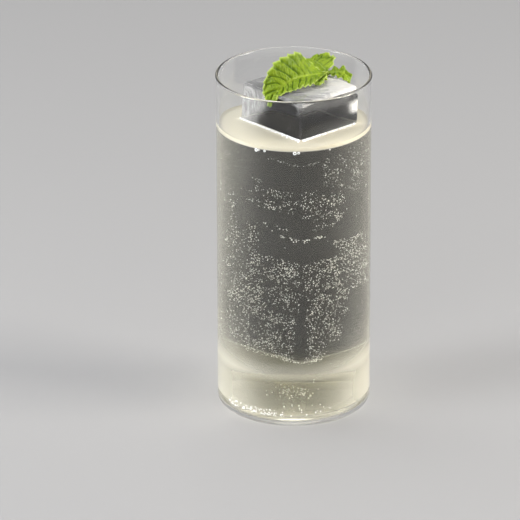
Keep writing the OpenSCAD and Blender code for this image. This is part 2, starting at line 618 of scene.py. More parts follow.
@dataclass
class TallGlass:
    """The straight, thin-walled glass with its heavy floor and polished lip.

    Attributes:
        height: Height over all.
        outer: Outer radius of the wall.
        wall: Thickness of the wall.
        floor: Height of the floor inside.
        foot: Radius of the rounding outside, at the foot.
        well: Radius of the rounding inside, at the floor.
        bead: How far the lip swells beyond the wall.
        lip: Height of the swelling at the lip.
        punt_radius: Where the hollow underneath ends.
        punt_depth: How deep the hollow is.
        punt_blend: How wide its slope is.
        rest_gap: Height at which the slope meets the resting edge.
        rest_round: Radius of the resting edge's inner rounding.
        ring_step: Distance between rings of vertices on the wall.
        steps: Steps round the axis.
        finish: Its finish.
    """

    height: float
    outer: float
    wall: float = 1.1
    floor: float = 4.0
    foot: float = 3.0
    well: float = 3.5
    bead: float = 0.25
    lip: float = 2.2
    punt_radius: float = 25.5
    punt_depth: float = 0.35
    punt_blend: float = 6.0
    rest_gap: float = 0.08
    rest_round: float = 0.7
    ring_step: float = 12.0
    steps: int = 224
    finish: GlassFinish = field(default_factory=GlassFinish)

    @property
    def bore(self) -> float:
        """Inner radius."""
        return self.outer - self.wall

    def outline(self) -> list[Pair]:
        """The wall's section, from the axis underneath round to the axis inside."""
        lip_r = (self.wall + self.bead) / 2
        lip_centre = (self.outer + self.bead - lip_r, self.height - lip_r)
        foot_centre = (self.outer - self.foot, self.foot)
        well_centre = (self.bore - self.well, self.floor + self.well)
        under = [
            (0.0, self.punt_depth),
            (self.punt_radius - self.punt_blend, self.punt_depth),
            (self.punt_radius, self.rest_gap),
        ]
        rest_centre = (self.punt_radius + self.rest_round, self.rest_round)
        swell = self.height - self.lip
        outside = [(self.outer, z) for z in spread_evenly(self.foot, swell, self.ring_step)]
        inside = [
            (self.bore, z) for z in spread_evenly(self.floor + self.well, swell, self.ring_step)
        ][::-1]
        return (
            under
            + arc(rest_centre, self.rest_round, -135.0, -90.0, 3)
            + arc(foot_centre, self.foot, -90.0, 0.0, 10)
            + outside
            + [(self.outer, swell)]
            + arc(lip_centre, lip_r, 0.0, 180.0, 12)
            + [(self.bore, swell)]
            + inside
            + arc(well_centre, self.well, 0.0, -90.0, 10)
            + [(self.bore * 0.5, self.floor + 0.02), (0.0, self.floor)]
        )

    def build(self) -> bpy.types.Object:
        """Builds the glass."""
        piece = finished(turned(self.outline(), self.steps), "tall_glass", self.finish.material())
        return settle(piece, Slot.GLASS, "glass", shades=False)


@dataclass
class IceSpear:
    """The clear block that stands in the drink and rises out of it.

    Attributes:
        level: Height of the drink's surface.
        bottom: Height of its underside.
        top: Height of its top.
        x_low: Its front left face, along its own X axis.
        x_high: Its back right face.
        y_low: Its front right face, along its own Y axis.
        y_high: Its back left face.
        turn: Turn of its axes about Z, in degrees.
        lean: How far the dry part of its back left face leans in.
        edge: Radius of its edges.
        hollow: How deep its sides have melted.
        hollow_wave: How fast that depth changes with height, in radians to a millimetre.
        sunk: How deep its top has melted.
        grid: Size of the skin's cells.
        slow_melt: Cells to a millimetre and depth of the wide dents.
        fine_melt: The same for the small dents.
        skin: How near a face a spot still belongs to it.
        crown: How far the top's frost reaches down.
        line: Height of the line of frost and painted highlight above the drink.
        top_frost: Frost at the left end of the top.
        left_frost: Most frost on the left face.
        painted_corner_highlight: Painted highlight at the melted corner's heart.
        corner_reach: How far that highlight reaches.
        corner_rise: Its height above the drink.
        corner_squash: How much flatter than wide that highlight is.
        line_frost_and_highlight: Frost and painted highlight on the line at the drink.
        line_width: Distance over which the line's frost fades fully.
        under_frost: Frost underneath.
        edge_frost: Frost on the front edge.
        edge_reach: Distance over which the front edge's frost fades fully.
        right_frost: Frost at the top of the front right face.
        right_reach: How far below the top that frost ends.
        overlap: How far the drink reaches into the block.
        finish: Its finish.
    """

    level: float
    bottom: float
    top: float
    x_low: float = -12.8
    x_high: float = 18.2
    y_low: float = -18.1
    y_high: float = 17.9
    turn: float = 42.0
    lean: float = 2.0
    edge: float = 1.6
    hollow: float = 0.5
    hollow_wave: float = 0.122
    sunk: float = 0.5
    grid: float = 1.5
    slow_melt: Pair = (0.07, 0.35)
    fine_melt: Pair = (0.31, 0.12)
    skin: float = 1.8
    crown: float = 1.3
    line: float = 0.6
    top_frost: float = 0.18
    left_frost: float = 0.28
    painted_corner_highlight: float = 1.5
    corner_reach: float = 4.4
    corner_rise: float = 8.5
    corner_squash: float = 1.9
    line_frost_and_highlight: float = 0.8
    line_width: float = 0.8
    under_frost: float = 0.3
    edge_frost: float = 0.15
    edge_reach: float = 7.0
    right_frost: float = 0.09
    right_reach: float = 6.0
    overlap: float = 0.15
    finish: IceFinish = field(default_factory=IceFinish)

    def __post_init__(self) -> None:
        """Keeps the turn as a matrix."""
        self.turned = Matrix.Rotation(math.radians(self.turn), 4, "Z")

    def place(self, x: float, y: float, z: float) -> Vector:
        """A point given along the block's own axes, in metres on the frame.

        Args:
            x: Across the front left and back right faces, in millimetres.
            y: Across the front right and back left faces, in millimetres.
            z: Height, in millimetres.

        Returns:
            The point in metres.
        """
        return self.turned @ (Vector((x, y, z)) * MM)

    def reach(self, x: float, y: float) -> float:
        """How far a place lies outside the block's plan, in millimetres (0 inside)."""
        mid = Vector(((self.x_low + self.x_high) / 2, (self.y_low + self.y_high) / 2))
        half = Vector(((self.x_high - self.x_low) / 2, (self.y_high - self.y_low) / 2))
        local = self.turned.inverted() @ Vector((x, y, 0.0))
        past = [max(abs(local[k] - mid[k]) - half[k], 0.0) for k in range(2)]
        return Vector(past).length

    def depth_in_front(self, angle: float, bore: float) -> float:
        """Depth of drink between the glass and the block, along a radius.

        Args:
            angle: Direction from the axis, in radians.
            bore: Inner radius of the glass, in millimetres.

        Returns:
            The depth in millimetres.
        """
        own = angle - math.radians(self.turn)
        way = (math.cos(own), math.sin(own))
        sides = (
            (self.x_high if way[0] > 0 else self.x_low) / way[0] if abs(way[0]) > 1e-6 else 1e9,
            (self.y_high if way[1] > 0 else self.y_low) / way[1] if abs(way[1]) > 1e-6 else 1e9,
        )
        return max(0.0, bore - min(sides))

    def shape(self, co: Vector) -> Vector:
        """Rounds, leans and melts a point of the plain box.

        Args:
            co: A point on the box, in millimetres along the block's own axes.

        Returns:
            The finished place.
        """
        low = Vector((self.x_low, self.y_low, self.bottom))
        high = Vector((self.x_high, self.y_high, self.top))
        inner = Vector(
            [min(max(co[k], low[k] + self.edge), high[k] - self.edge) for k in range(3)]
        )
        away = co - inner
        out = inner + away.normalized() * self.edge if away.length > 1e-6 else co.copy()
        mid, half = (low + high) / 2, (high - low) / 2
        across = [(out[k] - mid[k]) / half[k] for k in range(3)]
        for k in range(2):
            if abs(across[k]) > 0.9:
                wave = 0.55 + 0.45 * math.sin(out.z * self.hollow_wave + k * 1.9)
                dent = self.hollow * max(0.0, 1 - across[1 - k] ** 2) * wave
                out[k] -= math.copysign(dent, across[k])
        risen = max(0.0, out.z - self.level) / (self.top - self.level)
        if across[1] > 0.0:
            out.y -= self.lean * risen * across[1]
        if across[2] > 0.98:
            bumpy = 0.5 + noise.noise(out * 0.12)
            out.z -= self.sunk * max(0.0, 1 - across[0] ** 2) * bumpy
        slow, fine = [
            noise.noise_vector(out * cells) * depth
            for cells, depth in (self.slow_melt, self.fine_melt)
        ]
        melt = slow + fine
        melt.z *= min(1.0, abs(out.z - self.top) / 2.0)
        return out + melt

    def body(self) -> bmesh.types.BMesh:
        """Builds the block's skin along its own axes and turns it into place."""
        bm = bmesh.new()
        bmesh.ops.create_cube(bm, size=1.0)
        low = Vector((self.x_low, self.y_low, self.bottom))
        high = Vector((self.x_high, self.y_high, self.top))
        bmesh.ops.scale(bm, vec=high - low, verts=bm.verts)
        bmesh.ops.translate(bm, vec=(low + high) / 2, verts=bm.verts)
        near_edge = [self.edge * share for share in (0.18, 0.42, 0.7, 1.0)]
        for axis in range(3):
            start, end = low[axis] + self.edge, high[axis] - self.edge
            step = self.grid * (1.6 if axis == 2 else 1.0)
            cuts = [low[axis] + d for d in near_edge] + [high[axis] - d for d in near_edge]
            for cut in cuts + spread_evenly(start, end, step):
                at = Vector((0.0, 0.0, 0.0))
                at[axis] = cut
                facing = Vector((0.0, 0.0, 0.0))
                facing[axis] = 1.0
                everything = bm.verts[:] + bm.edges[:] + bm.faces[:]
                bmesh.ops.bisect_plane(
                    bm, geom=everything, plane_co=at, plane_no=facing, dist=1e-5
                )
        for vert in bm.verts:
            vert.co = self.shape(vert.co)
        bmesh.ops.transform(bm, matrix=self.turned @ Matrix.Scale(MM, 4), verts=bm.verts)
        bm.normal_update()
        return bm

    def frost_and_highlight(self, co: Vector) -> float:
        """How much a spot frosts over, or carries a painted highlight.

        The top, the left face, the melted corner, the line at the drink, the
        underside, the front edge and the right face each ask for a share, and the
        largest one counts. The melted corner's share is painted highlight, and the
        line at the drink's share is partly painted highlight.

        Args:
            co: A point of the skin, in metres.

        Returns:
            A share from 0 to 1.
        """
        own = self.turned.inverted() @ (co / MM)
        on_left, on_right = own.x < self.x_low + self.skin, own.y < self.y_low + self.skin
        # Painted highlight: a bright, flattened spot round the melted corner above the drink.
        highlight_offset = own - Vector((self.x_high, self.y_low, self.level + self.corner_rise))
        highlight_offset.z *= self.corner_squash
        asked = [self.painted_corner_highlight - highlight_offset.length / self.corner_reach]
        if own.z > self.top - self.crown:
            right = (own.x - self.x_low) / (self.x_high - self.x_low)
            asked.append(self.top_frost + max(0.0, right) ** 1.3)
        elif own.z > self.level:
            front_edge = math.hypot(own.x - self.x_low, own.y - self.y_low)
            asked.append(self.edge_frost - front_edge / self.edge_reach)
            if on_right:
                above = own.z - self.top + self.right_reach
                asked.append(self.right_frost * above / (self.right_reach - self.crown))
            if on_left and own.z > self.level + self.line:
                milky = (own.y - 3.0) / 14.0 + (own.z - self.level - 9.0) / 16.0
                asked.append(min(self.left_frost, 0.08 + 0.9 * milky))
        # Partly frost, partly painted highlight: a white line on the ice just above the drink.
        if on_left or on_right:
            off_line = abs(own.z - self.level - self.line)
            asked.append(self.line_frost_and_highlight - off_line / self.line_width)
        if own.z < self.bottom + 1.2:
            asked.append(self.under_frost)
        return clamped(max(asked))

    def build(self) -> bpy.types.Object:
        """Builds the block."""
        piece = finished(self.body(), "ice_spear", self.finish.material())
        paint(piece.data, "frost_and_highlight", [self.frost_and_highlight(v.co) for v in piece.data.vertices])
        return settle(piece, Slot.ICE, "ice_block")

    def cavity(self) -> bpy.types.Object:
        """The hole that the block leaves in the drink, a hair smaller than the block."""
        bm = self.body()
        for vert in bm.verts:
            vert.co -= vert.normal * self.overlap * MM
        mesh = bpy.data.meshes.new("ice_hole")
        bm.to_mesh(mesh)
        bm.free()
        made = bpy.data.objects.new("ice_hole", mesh)
        bpy.context.scene.collection.objects.link(made)
        return made


@dataclass
class Drink:
    """The drink, up to its level, with the climbing edge at the glass and at the ice.

    Attributes:
        glass: The glass it stands in.
        ice: The block it stands round.
        level: Height of its surface.
        into_glass: How far it reaches into the glass.
        climb: How far it climbs the glass.
        climb_width: How wide that climb is.
        ice_climb: How far it climbs the ice.
        ice_climb_width: Distance over which that climb fades to about a third.
        steps: Steps round the axis.
        side_haze_and_light: Cloudiness of the side, before deep drink; towards the left and right
            edges it is raised as painted light.
        side_depth: Depth at which most of that cloudiness is reached.
        top_haze: Cloudiness of the surface.
        skirt: Height of the pale line under the surface.
        skirt_haze: Cloudiness of that line.
        skirt_blur: How far the line fades, up and down.
        painted_foot_light: Painted light added at the left and right sides, towards the foot.
        painted_band_light: Painted highlight: strength of the pale band under the ice.
        middle_haze: Cloudiness at the middle of the floor.
        floor_painted_light: Painted light added towards the floor's edge.
        finish: Its finish.
    """

    glass: TallGlass
    ice: IceSpear
    level: float
    into_glass: float = 0.2
    climb: float = 0.9
    climb_width: float = 1.8
    ice_climb: float = 0.8
    ice_climb_width: float = 0.8
    steps: int = 192
    side_haze_and_light: float = 0.09
    side_depth: float = 14.0
    top_haze: float = 0.82
    painted_foot_light: float = 0.3
    painted_band_light: float = 0.24
    middle_haze: float = 0.08
    floor_painted_light: float = 0.5
    skirt: float = 0.65
    skirt_haze: float = 0.9
    skirt_blur: float = 0.3
    finish: DrinkFinish = field(default_factory=DrinkFinish)

    def outline(self) -> list[Pair]:
        """The drink's section, from the axis underneath round to the axis on top."""
        edge = self.glass.bore + self.into_glass
        well = self.glass.well
        floor = self.glass.floor - self.into_glass
        centre = (self.glass.bore - well, self.glass.floor + well)
        inner = self.glass.bore - self.climb_width
        top = []
        for k in range(9):
            left = 1 - k / 8
            r = self.glass.bore - self.climb_width * (1 - left)
            top.append((r, self.level + self.climb * left**2))
        rings = [(r, self.level) for r in spread_evenly(0.0, inner, 0.55)][::-1]
        line = self.level - self.skirt
        return (
            [(0.0, floor), (centre[0] * 0.5, floor)]
            + arc(centre, well + self.into_glass, -90.0, 0.0, 10)
            + [(edge, z) for z in spread_evenly(centre[1], line - self.skirt_blur, 3.0)]
            + [(edge, line - self.skirt_blur), (edge, line + self.skirt_blur)]
            + [(edge, self.level + self.climb)]
            + top
            + rings
            + [(0.0, self.level)]
        )

    def cloud_and_painted_light(self, co: Vector, normal: Vector) -> float:
        """How cloudy the skin looks at a spot, with painted light added at the wall and towards the
        floor's edge.

        Args:
            co: The spot, in metres.
            normal: The skin's direction there.

        Returns:
            The share of light that it scatters.
        """
        radius = math.hypot(co.x, co.y) / MM
        height = co.z / MM
        if height > self.level - 0.05 and normal.z > 0.3:
            return self.top_haze
        if radius > self.glass.bore - 0.5:
            return self.wall_haze_and_light(co)
        if height < self.glass.floor + 0.5:
            # Painted light: the floor is brightened towards its edge.
            return self.middle_haze + self.floor_painted_light * (radius / self.glass.bore) ** 3
        return 0.0

    def wall_haze_and_light(self, co: Vector) -> float:
        """How cloudy the skin looks where it meets the glass's wall, with painted light added:
        brighter towards the left and right edges and the foot, and a pale band under the ice.

        Args:
            co: The spot, in metres.

        Returns:
            The share of light that it scatters.
        """
        height, bore, bottom = co.z / MM, self.glass.bore, self.ice.bottom
        if height > self.level - self.skirt:
            return self.skirt_haze
        behind = self.ice.depth_in_front(math.atan2(co.y, co.x), bore)
        behind += (bore - behind) * clamped((bottom + 1.5 - height) / 3.0)
        low = clamped((bottom + 22.0 - height) / 30.0)
        # Painted light: the haze is raised towards the left and right edges, along X, as if they
        # were brightly lit.
        aside = abs(co.x) / MM / bore
        deep = 1 - math.exp(-behind / self.side_depth)
        haze_and_edge_light = self.side_haze_and_light * deep * (0.4 + 2.3 * aside**5)
        # Painted highlight: a pale band just under the ice's lower edge.
        painted_band = self.painted_band_light * math.exp(-(((height - bottom + 1.6) / 2.5) ** 4))
        # Painted light: the left and right sides are brightened further towards the foot.
        return haze_and_edge_light + painted_band + low**1.5 * self.painted_foot_light * aside**2

    def build(self) -> bpy.types.Object:
        """Builds the drink with the ice's hole in it."""
        bm = turned(self.outline(), self.steps)
        for vert in bm.verts:
            radius = math.hypot(vert.co.x, vert.co.y)
            on_top = vert.co.z > (self.level - 0.01) * MM
            if on_top and radius < (self.glass.bore - 0.1) * MM:
                gap = self.ice.reach(vert.co.x / MM, vert.co.y / MM)
                vert.co.z += self.ice_climb * math.exp(-gap / self.ice_climb_width) * MM
        material = self.finish.material()
        whole = finished(bm, "drink_blank", material)
        hole = self.ice.cavity()
        cut = whole.modifiers.new("hole", "BOOLEAN")
        cut.object = hole
        cut.operation = "DIFFERENCE"
        cut.solver = "EXACT"
        ready = bpy.context.evaluated_depsgraph_get()
        mesh = bpy.data.meshes.new_from_object(whole.evaluated_get(ready))
        for spent in (whole, hole):
            bpy.data.objects.remove(spent)
        piece = finished(mesh, "cloudy_drink", material)
        paint(mesh, "haze_and_light", [self.cloud_and_painted_light(v.co, v.normal) for v in mesh.vertices])
        return settle(piece, Slot.DRINK, "drink", shades=False)


# ---------------------------------------------------------------------- fizz


@dataclass(frozen=True)
class Drift:
    """One drift of bubbles on a face of the ice.

    Attributes:
        face: The face it clings to.
        across: Its two ends along the face, in millimetres on the ice's own axis.
        heights: Its lowest and highest bubble, in millimetres.
        count: How many bubbles it has.
        spread: How they lie.
        size: Smallest and largest radius, in millimetres.
    """

    face: Face
    across: Pair
    heights: Pair
    count: int
    spread: Spread = Spread.CLOUD
    size: Pair = (0.13, 0.24)


DRIFTS: tuple[Drift, ...] = (
    # Front right face, from the surface down
    Drift(Face.FRONT_RIGHT, (-12.0, -4.5), (110.6, 111.6), 14, Spread.ROW, (0.11, 0.18)),
    Drift(Face.FRONT_RIGHT, (-2.6, 7.0), (99.0, 113.0), 190, Spread.CLOUD, (0.1, 0.18)),
    Drift(Face.FRONT_RIGHT, (8.0, 17.4), (94.5, 114.0), 330, Spread.CLOUD, (0.09, 0.16)),
    Drift(Face.FRONT_RIGHT, (-12.4, 7.2), (88.0, 99.5), 240),
    Drift(Face.FRONT_RIGHT, (-8.0, 7.0), (82.5, 90.0), 90),
    Drift(Face.FRONT_RIGHT, (-12.4, -2.0), (78.4, 79.6), 44, Spread.ROW, (0.17, 0.27)),
    Drift(Face.FRONT_RIGHT, (2.0, 17.6), (68.0, 75.5), 230, Spread.CLOUD, (0.14, 0.25)),
    Drift(Face.FRONT_RIGHT, (-12.4, 17.4), (60.5, 68.5), 470, Spread.CLOUD, (0.14, 0.26)),
    Drift(Face.FRONT_RIGHT, (-12.4, 14.0), (52.5, 61.0), 300, Spread.CLOUD, (0.14, 0.25)),
    Drift(Face.FRONT_RIGHT, (-10.4, 7.5), (41.0, 53.0), 360, Spread.CLOUD, (0.13, 0.24)),
    Drift(Face.FRONT_RIGHT, (-9.6, 4.5), (31.5, 41.5), 230),
    Drift(Face.FRONT_RIGHT, (-10.6, -1.5), (25.6, 32.0), 120),
    Drift(Face.FRONT_RIGHT, (-12.6, -4.0), (25.0, 26.4), 40, Spread.ROW),
    Drift(Face.FRONT_RIGHT, (13.0, 17.6), (53.0, 62.0), 120, Spread.CLOUD, (0.12, 0.2)),
    # Front left face, from the surface down
    Drift(Face.FRONT_LEFT, (-17.6, -1.0), (110.6, 111.6), 26, Spread.ROW, (0.11, 0.18)),
    Drift(Face.FRONT_LEFT, (1.6, 6.8), (87.5, 100.5), 46, Spread.CLOUD, (0.12, 0.2)),
    Drift(Face.FRONT_LEFT, (-17.6, -0.6), (90.0, 99.0), 150),
    Drift(Face.FRONT_LEFT, (11.4, 14.0), (73.0, 92.0), 54, Spread.COLUMN),
    Drift(Face.FRONT_LEFT, (-12.0, -0.8), (80.6, 84.0), 14, Spread.ROW, (0.2, 0.3)),
    Drift(Face.FRONT_LEFT, (-17.6, -7.2), (78.4, 79.6), 30, Spread.ROW, (0.17, 0.27)),
    Drift(Face.FRONT_LEFT, (6.9, 15.8), (57.0, 77.5), 150),
    Drift(Face.FRONT_LEFT, (1.8, 6.2), (66.5, 82.0), 90),
    Drift(Face.FRONT_LEFT, (5.0, 5.8), (58.0, 77.0), 40, Spread.COLUMN),
    Drift(Face.FRONT_LEFT, (-17.6, -1.0), (59.0, 68.5), 300, Spread.CLOUD, (0.14, 0.26)),
    Drift(Face.FRONT_LEFT, (0.6, 5.4), (47.5, 66.5), 190),
    Drift(Face.FRONT_LEFT, (5.6, 13.0), (44.5, 58.0), 190),
    Drift(Face.FRONT_LEFT, (-17.6, -1.4), (54.0, 60.0), 90),
    Drift(Face.FRONT_LEFT, (-17.4, -1.6), (47.6, 54.5), 120),
    Drift(Face.FRONT_LEFT, (-1.0, 5.0), (25.0, 52.0), 260),
    Drift(Face.FRONT_LEFT, (6.0, 7.0), (25.0, 48.0), 80, Spread.COLUMN),
    Drift(Face.FRONT_LEFT, (7.4, 14.2), (26.0, 50.5), 230),
    Drift(Face.FRONT_LEFT, (-15.2, -1.8), (26.0, 45.6), 470, Spread.CLOUD, (0.13, 0.24)),
    Drift(Face.FRONT_LEFT, (-17.8, 8.0), (25.0, 26.2), 60, Spread.ROW),
)


# Direction, in degrees, and radius, in millimetres, of each big bubble under the surface, drawn as
# a ring of painted reflection
GLINT_RINGS: tuple[Pair, ...] = (
    (-119.1, 0.68),
    (-117.0, 0.36),
    (-112.2, 0.48),
    (-89.2, 0.72),
    (-86.3, 0.52),
    (-62.0, 0.34),
)


@dataclass
class Fizz:
    """Bubbles of gas: on the ice, on the floor and wall of the glass, and at the surface.

    Attributes:
        glass: The glass.
        ice: The ice.
        level: Height of the drink's surface.
        seed: Seed of the bubbles' places and sizes.
        swell: Factor on the size of the bubbles on the front faces.
        fill: Factor on their number.
        clump: Bubbles to a clump, in a cloud.
        clumped: Share of a cloud's bubbles that lie in clumps.
        behind_count: Bubbles on the two faces at the back.
        floor_counts: Bubbles at the middle of the floor, and in front of it.
        well_arc: Ends of the arc of bubbles at the floor's edge, in degrees.
        well_count: Bubbles in that arc.
        well_singles: Directions of the single bubbles beside it, in degrees.
        wall_counts: Bubbles on the front and on the back of the wall.
        froth_counts: Bubbles of froth along the left and the right face.
        glint_ring_tube: Thickness of a big bubble's bright ring of painted reflection, as a share
            of its radius.
        finish: Its finish.
    """

    glass: TallGlass
    ice: IceSpear
    level: float
    seed: int = 11
    swell: float = 0.98
    fill: float = 0.72
    clump: int = 9
    clumped: float = 0.55
    behind_count: int = 1100
    floor_counts: tuple[int, int] = (90, 14)
    well_arc: Pair = (211.0, 262.0)
    well_count: int = 110
    well_singles: tuple[float, ...] = (268.0, 276.0, 280.0, 287.0, 291.0)
    wall_counts: tuple[int, int] = (120, 260)
    froth_counts: tuple[int, int] = (560, 400)
    glint_ring_tube: float = 0.26
    finish: FizzFinish = field(default_factory=FizzFinish)

    def __post_init__(self) -> None:
        """Makes the one small ball that every bubble repeats, and the finish."""
        self.rng = np.random.default_rng(self.seed)
        bm = bmesh.new()
        bmesh.ops.create_icosphere(bm, subdivisions=1, radius=1.0)
        bm.verts.ensure_lookup_table()
        self.ball = np.array([v.co[:] for v in bm.verts])
        self.ball_faces = np.array([[v.index for v in f.verts] for f in bm.faces])
        bm.free()
        self.material = self.finish.material()

    def piece(
        self, name: str, places: np.ndarray, radii: np.ndarray, flat: float = 1.0
    ) -> bpy.types.Object:
        """Joins bubbles into one piece.

        Args:
            name: The piece's name.
            places: Centres, in metres.
            radii: Radii, in millimetres.
            flat: Height of a bubble as a share of its width.

        Returns:
            The settled piece.
        """
        ball = self.ball * np.array([1.0, 1.0, flat])
        verts = places[:, None, :] + ball[None, :, :] * (radii * MM)[:, None, None]
        shift = (np.arange(len(places)) * len(ball))[:, None, None]
        faces = (self.ball_faces[None, :, :] + shift).reshape(-1, 3)
        mesh = bpy.data.meshes.new(name)
        mesh.from_pydata(verts.reshape(-1, 3).tolist(), [], faces.tolist())
        return settle(finished(mesh, name, self.material), Slot.DRINK)

    def on_frame(self, own: np.ndarray) -> np.ndarray:
        """Takes places along the ice's own axes, in millimetres, to the frame, in metres."""
        turn = np.array(self.ice.turned.to_3x3())
        return own @ turn.T * MM

    def round_axis(
        self, angles: np.ndarray, reach: np.ndarray, heights: np.ndarray
    ) -> np.ndarray:
        """Places round the glass's axis.

        Args:
            angles: Directions, in radians.
            reach: Distances from the axis, in millimetres.
            heights: Heights, in millimetres.

        Returns:
            The places, in metres.
        """
        return np.column_stack([np.cos(angles) * reach, np.sin(angles) * reach, heights]) * MM

    def along(self, drift: Drift) -> tuple[np.ndarray, np.ndarray]:
        """Places and sizes of one drift's bubbles.

        Args:
            drift: The drift to lay out.

        Returns:
            The centres, in metres, and the radii, in millimetres.
        """
        rng, count = self.rng, round(drift.count * self.fill)
        low, high = drift.across
        foot, head = drift.heights
        if drift.spread is Spread.CLOUD:
            knots = max(3, count // self.clump)
            centres = np.column_stack(
                [rng.uniform(low, high, knots), rng.uniform(foot, head, knots)]
            )
            chosen = centres[rng.integers(0, knots, count)]
            loose = np.column_stack([rng.uniform(low, high, count), rng.uniform(foot, head, count)])
            close = chosen + rng.normal(0.0, 1.0, (count, 2)) * np.array([1.1, 0.8])
            spots = np.where(rng.random((count, 1)) < self.clumped, close, loose)
        elif drift.spread is Spread.ROW:
            across = rng.uniform(low, high, count)
            mid, half = (foot + head) / 2, (head - foot) / 2
            spots = np.column_stack([across, mid + half * rng.normal(0.0, 0.5, count)])
        else:
            mid, half = (low + high) / 2, (high - low) / 2
            across = mid + half * rng.normal(0.0, 0.5, count)
            spots = np.column_stack([across, rng.uniform(foot, head, count)])
        spots[:, 0] = np.clip(spots[:, 0], low - 0.4, high + 0.4)
        spots[:, 1] = np.clip(spots[:, 1], foot - 0.4, head + 0.4)
        skew = rng.random(count) ** 2.2
        radii = self.swell * (drift.size[0] + (drift.size[1] - drift.size[0]) * skew)
        stand = radii * 0.7 + rng.random(count) ** 3 * 1.6
        if drift.face is Face.FRONT_LEFT:
            own = np.column_stack([self.ice.x_low - stand, spots[:, 0], spots[:, 1]])
        else:
            own = np.column_stack([spots[:, 0], self.ice.y_low - stand, spots[:, 1]])
        return self.on_frame(own), radii

    def on_ice(self, face: Face) -> bpy.types.Object:
        """Builds the bubbles that cling to one face of the ice."""
        laid = [self.along(drift) for drift in DRIFTS if drift.face is face]
        places = np.concatenate([p for p, _ in laid])
        radii = np.concatenate([r for _, r in laid])
        return self.piece("fizz_" + face.value.replace(" ", "_"), places, radii)

    def on_far_faces(self) -> bpy.types.Object:
        """Builds the sparser bubbles on the two faces at the back."""
        rng, count = self.rng, self.behind_count
        across = rng.uniform(-12.0, 17.0, count)
        heights = 27.0 + 82.0 * rng.random(count) ** 1.7
        radii = 0.13 + 0.12 * rng.random(count) ** 2
        right = rng.random(count) < 0.5
        own = np.where(
            right[:, None],
            np.column_stack([self.ice.x_high + radii, across, heights]),
            np.column_stack([across, self.ice.y_high + radii, heights]),
        )
        return self.piece("fizz_behind", self.on_frame(own), radii)

    def on_floor(self) -> bpy.types.Object:
        """Builds the cluster at the middle of the floor and the few in front of it."""
        rng, (many, some) = self.rng, self.floor_counts
        middle = rng.normal(0.0, 1.0, (many, 2)) * np.array([3.4, 3.0]) + np.array([0.5, 1.0])
        few = np.column_stack([rng.uniform(-4.0, 14.0, some), rng.uniform(-22.0, -12.0, some)])
        flat = np.concatenate([middle, few])
        radii = 0.14 + 0.24 * rng.random(len(flat)) ** 2
        heights = self.glass.floor + radii * 0.9
        heights[:many] += rng.random(many) ** 2 * 3.0
        return self.piece("fizz_floor", np.column_stack([flat, heights]) * MM, radii)

    def in_well(self) -> bpy.types.Object:
        """Builds the arc of bubbles that cling to the rounded edge of the floor."""
        rng, well = self.rng, self.glass.well
        arc_angles = rng.uniform(*self.well_arc, self.well_count)
        about = np.radians(np.concatenate([arc_angles, np.array(self.well_singles)]))
        slope = np.radians(-rng.uniform(3.0, 60.0, len(about)))
        reach = self.glass.bore - well + (well + 0.15) * np.cos(slope)
        heights = self.glass.floor + well + (well + 0.15) * np.sin(slope)
        radii = 0.15 + 0.2 * rng.random(len(about)) ** 1.6
        return self.piece("fizz_in_well", self.round_axis(about, reach, heights), radii)

    def on_wall(self) -> bpy.types.Object:
        """Builds the few bubbles on the glass."""
        rng, (front, back) = self.rng, self.wall_counts
        angles = np.radians(
            np.concatenate([rng.uniform(-175.0, 0.0, front), rng.uniform(0.0, 180.0, back)])
        )
        heights = 14.0 + 100.0 * rng.random(front + back)
        radii = 0.1 + 0.14 * rng.random(front + back) ** 2
        reach = self.glass.bore - radii * 0.9
        return self.piece("fizz_on_glass", self.round_axis(angles, reach, heights), radii)

    def rings(self) -> bpy.types.Object:
        """Builds the big bubbles under the surface as painted reflection: bright rings round clear
        middles.
        """
        whole = bmesh.new()
        for angle, radius in GLINT_RINGS:
            # Painted reflection: each big bubble is only a white ring, the light round its rim.
            tube = radius * self.glint_ring_tube
            ring = turned(arc((radius * (1 - self.glint_ring_tube), 0.0), tube, 0.0, 360.0, 10), 20)
            reach = Vector((self.glass.bore + 0.12, 0.0, self.level - 1.0 - radius * 0.6)) * MM
            swung = Matrix.Rotation(math.radians(angle), 4, "Z")
            upright = Matrix.Rotation(math.pi / 2, 4, "Y")
            about = swung @ Matrix.Translation(reach) @ upright
            bmesh.ops.transform(ring, matrix=about, verts=ring.verts)
            mesh = bpy.data.meshes.new("ring")
            ring.to_mesh(mesh)
            ring.free()
            whole.from_mesh(mesh)
            bpy.data.meshes.remove(mesh)
        return settle(finished(whole, "fizz_glint_rings", self.material), Slot.DRINK)

    def waterline(self) -> bpy.types.Object:
        """Builds the line of froth where the drink meets the ice."""
        rng, ice, (many, few) = self.rng, self.ice, self.froth_counts
        down_left = rng.uniform(ice.y_low + 0.2, ice.y_high - 0.4, many)
        down_right = rng.uniform(ice.x_low + 0.8, ice.x_high - 2.0, few)
        left = np.column_stack([np.full(many, ice.x_low), down_left])
        right = np.column_stack([down_right, np.full(few, ice.y_low)])
        flat = np.concatenate([left, right])
        near = np.exp(-np.hypot(flat[:, 0] - ice.x_low, flat[:, 1] - ice.y_low) / 9.0)
        radii = (0.11 + 0.24 * rng.random(len(flat)) ** 1.8) * (0.62 + 0.75 * near)
        out = radii * 0.4 + np.abs(rng.normal(0.0, 0.38, len(flat)))
        flat[:many, 0] -= out[:many]
        flat[many:, 1] -= out[many:]
        heights = self.level + 0.85 * np.exp(-out / 0.9) + radii * 0.35
        places = self.on_frame(np.column_stack([flat, heights]))
        return self.piece("waterline_froth", places, radii, flat=0.8)

    def build(self) -> list[bpy.types.Object]:
        """Builds every piece of fizz."""
        return [
            self.on_ice(Face.FRONT_LEFT),
            self.on_ice(Face.FRONT_RIGHT),
            self.on_far_faces(),
            self.on_floor(),
            self.in_well(),
            self.on_wall(),
            self.rings(),
            self.waterline(),
        ]


# ---------------------------------------------------------------------- mint


# The values that the mint's mesh hands to its finish
LEAF_VALUES = ("vein", "hollow", "edge")


